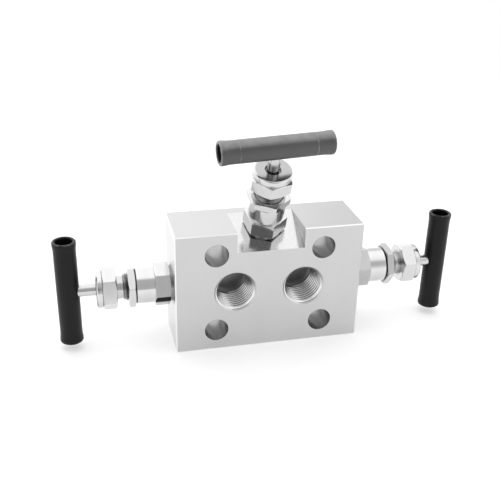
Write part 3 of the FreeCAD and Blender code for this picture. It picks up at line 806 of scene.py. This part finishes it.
def turned_steel(name, axis, foot, colour, roughness, grooves,
                 oil_and_shade=None, face=None, hexagon=None, dark_facet=None):
    """Polished turned steel: fine rings about the valve's axis, on barrels and end faces alike. The face is
    the darker grey painted as shade inside the rounded rim of a cap, and the hexagon the darker grey painted
    as shade on the bonnet's hexagon, where they aren't the colour. Oil with painted shade comes in the
    amounts given for the collar and the neck, and a painted dark reflection in the directions given for one
    facet of the bonnet's hexagon."""
    material, tree, shader = new_material(name, colour, metallic=1.0, roughness=0.15)
    place = vector_node(tree, "SUBTRACT", object_place(tree), foot)
    along, radius = along_and_out(tree, place, axis)
    rings = joined(tree, along, radius)
    smudge = noise(tree, place, SMUDGE_SCALE)
    shade = varied(tree, noise(tree, rings, BAND_SCALE, detail=2.0), colour, BAND_CONTRAST)
    finish = remap(tree, smudge, *roughness)
    # Painted shade on the cap's flat face, inside its rim.
    if face is not None:
        inside_rim = below(tree, radius, CAP_RADIUS - CAP_EDGE + 0.15, softness=0.25)
        shade = coloured(tree, inside_rim, shade, face)
    # A darker grey painted as shade on the bonnet's hexagon.
    if hexagon is not None:
        on_hexagon = between(tree, along, COLLAR_TOP, BONNET_HEX_TOP)
        shade = coloured(tree, on_hexagon, shade, varied(tree, smudge, hexagon, HEXAGON_CONTRAST))
    # Oil with painted shade on the thread, in the joints, on the collar and on the neck.
    if oil_and_shade is not None:
        darkened = product(tree, oil_and_shade_mask(tree, along, radius, *oil_and_shade), remap(tree, smudge, *OIL_AND_SHADE_STRENGTH))
        shade = coloured(tree, darkened, shade, OIL_AND_SHADE_GREY)
    # A painted dark reflection on one facet of the bonnet's hexagon, darkening towards one end.
    if dark_facet is not None:
        painted_reflection = painted_reflection_mask(tree, place, along, *dark_facet)
        shade = coloured(tree, painted_reflection, shade, FACET_REFLECTION_GREY)
        finish = blended(tree, painted_reflection, finish, FACET_REFLECTION_ROUGHNESS)
    tree.links.new(shade, shader.inputs["Base Color"])
    tree.links.new(finish, shader.inputs["Roughness"])
    add_bump(tree, shader, noise(tree, rings, GROOVE_SCALE, roughness=0.6), grooves)
    return material


# Handle sleeves. Where a range goes past 0 or 1 it is cut off there, so that painted highlights and wear
# come in patches.
SLEEVE_TONES = 0.85, 1.2
SLEEVE_ROUGHNESS = 0.34, 0.46
SLEEVE_GRAIN_DEPTH = 20 * MICROMETRE
OUTWARD_HIGHLIGHT_FROM, OUTWARD_HIGHLIGHT_SOFTNESS = HANDLE_RADIUS * 0.89, HANDLE_RADIUS * 0.10
OUTWARD_HIGHLIGHT_PATCHES = 0.25, 1.60
PATCHINESS_RANGE = -1.2, 2.4
BROKEN_LINE = -1.1, 2.6
RIM_WIDTH = 0.5
CORE_LINE_HALF = 0.12
INSIDE_GREY = 0.004
INSIDE_SLACK = 0.25


def sleeve(name, middle, axis, outwards, shade, sheen, rim, outward_highlight, marked):
    """Plastic tube with a soft sheen, a faint grain, a painted highlight on its rims and a dark inside. The
    side that faces outwards, away from the block, carries a lighter painted highlight, and broken lines of
    painted highlight and wear mark where the core ends."""
    material, tree, shader = new_material(name, shade, metallic=0.0, roughness=0.4)
    shader.inputs["Specular IOR Level"].default_value = sheen
    place = object_place(tree)
    local = vector_node(tree, "SUBTRACT", place, middle)
    along, radius = along_and_out(tree, local, axis)
    along = math_node(tree, "ABSOLUTE", along)
    patches = noise(tree, place, scale=120)
    grain = noise(tree, place, scale=2600, detail=4.0)

    # Painted highlight on the outward side, where light from above falls, in patches.
    outward_side = above(tree, dot(tree, local, outwards), OUTWARD_HIGHLIGHT_FROM, OUTWARD_HIGHLIGHT_SOFTNESS)
    outward_patches = remap(tree, noise(tree, place, scale=260, detail=5.0, roughness=0.6), *OUTWARD_HIGHLIGHT_PATCHES)
    # Painted highlights on the rims, and painted highlight with wear in broken lines where the core ends.
    rims = above(tree, along, HANDLE_LENGTH / 2 - RIM_WIDTH, softness=RIM_WIDTH / 2)
    core_end = CORE_LENGTH / 2
    lines = between(tree, along, core_end - CORE_LINE_HALF, core_end + CORE_LINE_HALF, CORE_LINE_HALF / 2)
    broken = clamped(tree, remap(tree, noise(tree, place, scale=230, detail=2.0), *BROKEN_LINE))
    patchiness = remap(tree, noise(tree, place, scale=420, detail=4.0), *PATCHINESS_RANGE)
    highlight_and_wear = product(tree, greatest(tree, rims, product(tree, lines, broken, marked)), patchiness)
    inside = below(tree, radius, HANDLE_BORE_RADIUS + INSIDE_SLACK, softness=0.12)

    darkest, lightest = SLEEVE_TONES
    colour = coloured(tree, patches, shade * darkest, shade * lightest)
    colour = coloured(tree, product(tree, outward_side, outward_patches), colour, outward_highlight)
    colour = coloured(tree, clamped(tree, highlight_and_wear), colour, rim)
    colour = coloured(tree, inside, colour, INSIDE_GREY)
    tree.links.new(colour, shader.inputs["Base Color"])
    tree.links.new(remap(tree, patches, *SLEEVE_ROUGHNESS), shader.inputs["Roughness"])
    add_bump(tree, shader, grain, SLEEVE_GRAIN_DEPTH)
    return material


FIBRE_DEPTH = 40 * MICROMETRE


def soft_ring(name, dark, light, roughness):
    """Packing, gasket and seal materials."""
    material, tree, shader = new_material(name, light, metallic=0.0, roughness=roughness)
    fibres = noise(tree, object_place(tree), scale=900, detail=5.0)
    tree.links.new(coloured(tree, fibres, dark, light), shader.inputs["Base Color"])
    add_bump(tree, shader, fibres, FIBRE_DEPTH)
    return material


BLOCK_STEEL = milled_steel("block_steel")
THREAD_STEEL = cut_steel("thread_steel")
WHITE_SEAL = soft_ring("white_seal", dark=(0.80, 0.80, 0.78), light=(0.88, 0.88, 0.86), roughness=0.45)
GRAPHITE = soft_ring("graphite", dark=(0.03, 0.03, 0.032), light=(0.07, 0.07, 0.073), roughness=0.6)

# How dark a handle's sleeve is, how much it shines, how light the painted highlights on its rims and on its
# outward side are, and how clearly the lines of painted highlight and wear where the core ends show through
BLACK_SLEEVE = {"shade": 0.006, "sheen": 0.22, "rim": 0.07, "outward_highlight": 0.007, "marked": 0.0}
# A greyer sleeve: its grey is partly its own and partly painted light from above, and its outward side is a
# painted highlight.
GREY_SLEEVE = {"shade": 0.052, "sheen": 0.8, "rim": 0.30, "outward_highlight": 0.23, "marked": 1.0}
# Each valve: its sleeve, how oily its collar and its neck are, with painted shade, and where the photograph
# shows it, a darker grey painted as shade on the bonnet's hexagon and how the facet with a painted dark
# reflection is turned, in degrees from the hexagon's first corner
VALVE_LOOKS = {
    "left": {"sleeve": BLACK_SLEEVE, "oil_and_shade": (0.85, 0.22), "hexagon": None, "dark_flat": 210.0},
    "right": {"sleeve": BLACK_SLEEVE, "oil_and_shade": (0.3, 0.55), "hexagon": 0.48, "dark_flat": None},
    "equalising": {"sleeve": GREY_SLEEVE, "oil_and_shade": (0.25, 0.3), "hexagon": None, "dark_flat": None},
}


def dark_facet_directions(facts, dark_flat):
    """The normal of the facet with the painted dark reflection, and the direction along it in which that
    reflection darkens.
    """
    flat = math.radians(facts["bonnet"] + dark_flat)
    turned = facts["frame"].to_3x3()
    return (turned @ Vector((math.cos(flat), math.sin(flat), 0)),
            turned @ Vector((-math.sin(flat), math.cos(flat), 0)))


def valve_materials(valve, facts):
    looks = VALVE_LOOKS[valve]
    oil_and_shade = looks["oil_and_shade"]
    dark_facet = None if looks["dark_flat"] is None else dark_facet_directions(facts, looks["dark_flat"])
    foot = facts["frame"].translation
    axis = facts["frame"].to_3x3() @ Vector((0, 0, 1))
    grip = handle_frame(facts)
    return {
        "turned": turned_steel(f"{valve}_turned_steel", axis, foot, **TURNED_FINISH, oil_and_shade=oil_and_shade,
                               hexagon=looks["hexagon"], dark_facet=dark_facet),
        "cap": turned_steel(f"{valve}_cap_steel", axis, foot, **CAP_FINISH, oil_and_shade=oil_and_shade, face=CAP_FACE_SHADE_GREY),
        "stem": turned_steel(f"{valve}_stem_steel", axis, foot, **STEM_FINISH),
        "screw": turned_steel(f"{valve}_dark_screw", axis, foot, **SCREW_FINISH),
        "sleeve": sleeve(f"{valve}_handle_sleeve", grip.translation, grip.to_3x3() @ Vector((0, 0, 1)), axis,
                         **looks["sleeve"]),
    }


MATERIALS = {valve: valve_materials(valve, facts) for valve, facts in VALVES.items()}


def finish_node(name, material):
    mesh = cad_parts[name].data
    mesh.materials.clear()
    mesh.materials.append(material)


finish_node("manifold_block", BLOCK_STEEL)
for side in ("left", "right"):
    finish_node(f"{side}_flange_seal", WHITE_SEAL)
for valve, made_of in MATERIALS.items():
    for node_name in ("bonnet", "lock_nut", "gland_nut", "gland_cap", "packing_follower"):
        finish_node(f"{valve}_{node_name}", made_of["turned"])
    for node_name in ("stem", "stem_tip", "handle_core"):
        finish_node(f"{valve}_{node_name}", made_of["stem"])
    finish_node(f"{valve}_set_screw", made_of["screw"])
    finish_node(f"{valve}_handle_tube", made_of["sleeve"])
    finish_node(f"{valve}_bonnet_seal", WHITE_SEAL)
    finish_node(f"{valve}_packing_rings", GRAPHITE)

HEX_SECTIONS = {"bonnet": bonnet_section, "lock_nut": lock_nut_section, "gland_nut": gland_nut_section}


def dress_valve(valve, facts, made_of):
    """The visible pieces of a valve, finer than the solids that they stand for."""
    place, steel, stem = facts["frame"], made_of["turned"], f"{valve}_stem"
    for part, section in HEX_SECTIONS.items():
        bm = ring_mesh(section(facts[part]), hex_angles(facts[part]))
        made = add_object(f"{valve}_{part}_finish", bm, place, steel, "manifold")
        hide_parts(f"{valve}_{part}")
    bm = ring_mesh(gland_cap_section, even_angles(ROUND_SIDES))
    made = add_object(f"{valve}_gland_cap_finish", bm, place, made_of["cap"], "manifold")
    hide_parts(f"{valve}_gland_cap")
    bm = thread_mesh(GLAND_THREAD_RADIUS - GLAND_THREAD_DEPTH, GLAND_THREAD_RADIUS,
                     LOCK_NUT_TOP - GLAND_THREAD_HIDDEN, NECK_START, GLAND_THREAD_PITCH)
    add_object(f"{valve}_gland_thread", bm, place, steel, "manifold", THREAD_SHARP_DEGREES)

    opened = place @ Matrix.Translation((0, 0, facts["opening"] * MM))
    bm = ring_mesh(stem_section, even_angles(STEM_SIDES))
    made = add_object(f"{valve}_stem_finish", bm, opened, made_of["stem"], stem)
    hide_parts(f"{valve}_stem")
    bm = thread_mesh(STEM_THREAD_ROOT, STEM_THREAD_RADIUS, TIP_FLANGE_TOP,
                     STEM_THREAD_TOP - STEM_THREAD_RUNOUT, STEM_THREAD_PITCH)
    add_object(f"{valve}_stem_thread", bm, opened, made_of["stem"], stem, THREAD_SHARP_DEGREES)

    across = handle_frame(facts)
    bm = ring_mesh(set_screw_section, even_angles(SCREW_SIDES))
    made = add_object(f"{valve}_set_screw_finish", bm, across, made_of["screw"], stem)
    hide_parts(f"{valve}_set_screw")
    bm = ring_mesh(handle_section, even_angles(HANDLE_SIDES))
    made = add_object(f"{valve}_handle_grip", bm, across, made_of["sleeve"], stem)
    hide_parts(f"{valve}_handle_tube")


def dress_port(side, sign):
    """The threads in a process port, whose axis runs into the block, along +Y."""
    mouth = Matrix.Translation((sign * PORT_SPACING / 2 * MM, -BLOCK_DEPTH / 2 * MM, BLOCK_HEIGHT / 2 * MM))
    into_block = Matrix.Rotation(math.radians(-90), 4, "X")
    place = mouth @ into_block @ Matrix.Rotation(math.radians(90), 4, "Z")
    chamfer = ring_mesh(port_mouth_section, even_angles(ROUND_SIDES))
    thread = thread_mesh(PORT_RADIUS, PORT_CREST_RADIUS, PORT_MOUTH_DEPTH, PORT_THREAD_END, PORT_PITCH,
                         PORT_TAPER, PORT_FADE)
    for name, bm, steel in (("mouth", chamfer, BLOCK_STEEL), ("thread", thread, THREAD_STEEL)):
        add_object(f"{side}_process_port_{name}", bm, place, steel, "manifold",
                   THREAD_SHARP_DEGREES)


for valve, facts in VALVES.items():
    dress_valve(valve, facts, MATERIALS[valve])
for side, sign in (("left", -1), ("right", 1)):
    dress_port(side, sign)

# Studio: a pale floor, in a pale world with soft patches that the steel mirrors. The floor ends so near that
# the steel's facets see the world behind it. Its half width and its drop are in metres.
FLOOR_HALF = 0.5
FLOOR_DROP = 0.00005
FLOOR_COLOUR = 0.8
FLOOR_GLOW = 0.32
SKY = 1.12
# Where each patch is seen from the object, how many degrees from there it is full and where it ends, and how
# bright it is. Later ones lie over earlier ones.
SKY_PATCHES = {
    "back left": ((-0.35, 0.85, 0.40), 20, 50, 1.46),
    "back right": ((0.70, 0.58, 0.43), 14, 34, 0.80),
    "right": ((0.50, -0.35, 0.80), 12, 28, 1.28),
    "overhead": ((0.06, 0.25, 0.95), 18, 44, 1.46),
    "front": ((-0.14, -0.85, 0.50), 28, 42, 0.60),
    "behind the camera": ((-0.25, -0.88, 0.40), 8, 18, 0.20),
}


def floor_material():
    """A matt floor that also glows a little where the camera, metal or glass sees it, so that it looks white
    and keeps the object's shadow."""
    material = bpy.data.materials.new("floor")
    material.use_nodes = True
    tree = material.node_tree
    tree.nodes.clear()
    path = node(tree, "ShaderNodeLightPath").outputs
    seen = greatest(tree, path["Is Camera Ray"], path["Is Glossy Ray"], path["Is Transmission Ray"])
    matt = node(tree, "ShaderNodeBsdfDiffuse", Color=as_colour(FLOOR_COLOUR))
    glow = node(tree, "ShaderNodeEmission", Color=as_colour(1.0))
    tree.links.new(remap(tree, seen, 0.0, FLOOR_GLOW), glow.inputs["Strength"])
    both = node(tree, "ShaderNodeAddShader")
    tree.links.new(matt.outputs[0], both.inputs[0])
    tree.links.new(glow.outputs[0], both.inputs[1])
    output = node(tree, "ShaderNodeOutputMaterial")
    tree.links.new(both.outputs[0], output.inputs["Surface"])
    return material


def add_floor():
    bm = bmesh.new()
    bmesh.ops.create_grid(bm, x_segments=1, y_segments=1, size=FLOOR_HALF)
    mesh = bpy.data.meshes.new("floor")
    bm.to_mesh(mesh)
    bm.free()
    mesh.transform(Matrix.Translation((0, 0, -FLOOR_DROP)))
    mesh.materials.append(floor_material())
    floor = bpy.data.objects.new("floor", mesh)
    bpy.context.scene.collection.objects.link(floor)


def facing(tree, towards, full_degrees, end_degrees):
    """1 where the world is looked at in this direction, falling to 0 further away."""
    looked_at = node(tree, "ShaderNodeTexCoord").outputs["Generated"]
    near = dot(tree, looked_at, Vector(towards).normalized())
    ends = math.cos(math.radians(end_degrees)), math.cos(math.radians(full_degrees))
    return map_range(tree, near, ends, interpolation="SMOOTHSTEP")


def add_world():
    """The pale world. The camera itself sees plain white."""
    world = bpy.data.worlds.new("studio")
    bpy.context.scene.world = world
    world.use_nodes = True
    tree = world.node_tree
    light = SKY
    for towards, full_degrees, end_degrees, strength in SKY_PATCHES.values():
        light = blended(tree, facing(tree, towards, full_degrees, end_degrees), light, strength)
    seen = node(tree, "ShaderNodeLightPath").outputs["Is Camera Ray"]
    sky = tree.nodes["Background"]
    sky.inputs["Color"].default_value = as_colour(1.0)
    tree.links.new(blended(tree, seen, light, 1.0), sky.inputs["Strength"])


# Camera at the photograph's viewing angle, fitted to the block's corners, holes and handles
CAMERA_PLACE = (-0.09207, -0.34532, 0.21679)
CAMERA_RIGHT = (0.97301, -0.22975, 0.02152)
CAMERA_UP = (0.08043, 0.42510, 0.90157)
CAMERA_LENS = 55.925
CAMERA_SENSOR_WIDTH = 36
CAMERA_CLIP = 0.01, 50


def add_camera():
    camera = bpy.data.cameras.new("camera")
    camera.lens = CAMERA_LENS
    camera.sensor_width = CAMERA_SENSOR_WIDTH
    camera.clip_start, camera.clip_end = CAMERA_CLIP
    made = bpy.data.objects.new("camera", camera)
    right = Vector(CAMERA_RIGHT).normalized()
    up = Vector(CAMERA_UP).normalized()
    back = right.cross(up).normalized()
    up = back.cross(right)
    made.matrix_world = Matrix.Translation(CAMERA_PLACE) @ Matrix((right, up, back)).transposed().to_4x4()
    bpy.context.scene.collection.objects.link(made)
    bpy.context.scene.camera = made


add_floor()
add_world()
add_camera()
bpy.context.scene.view_settings.view_transform = "Standard"
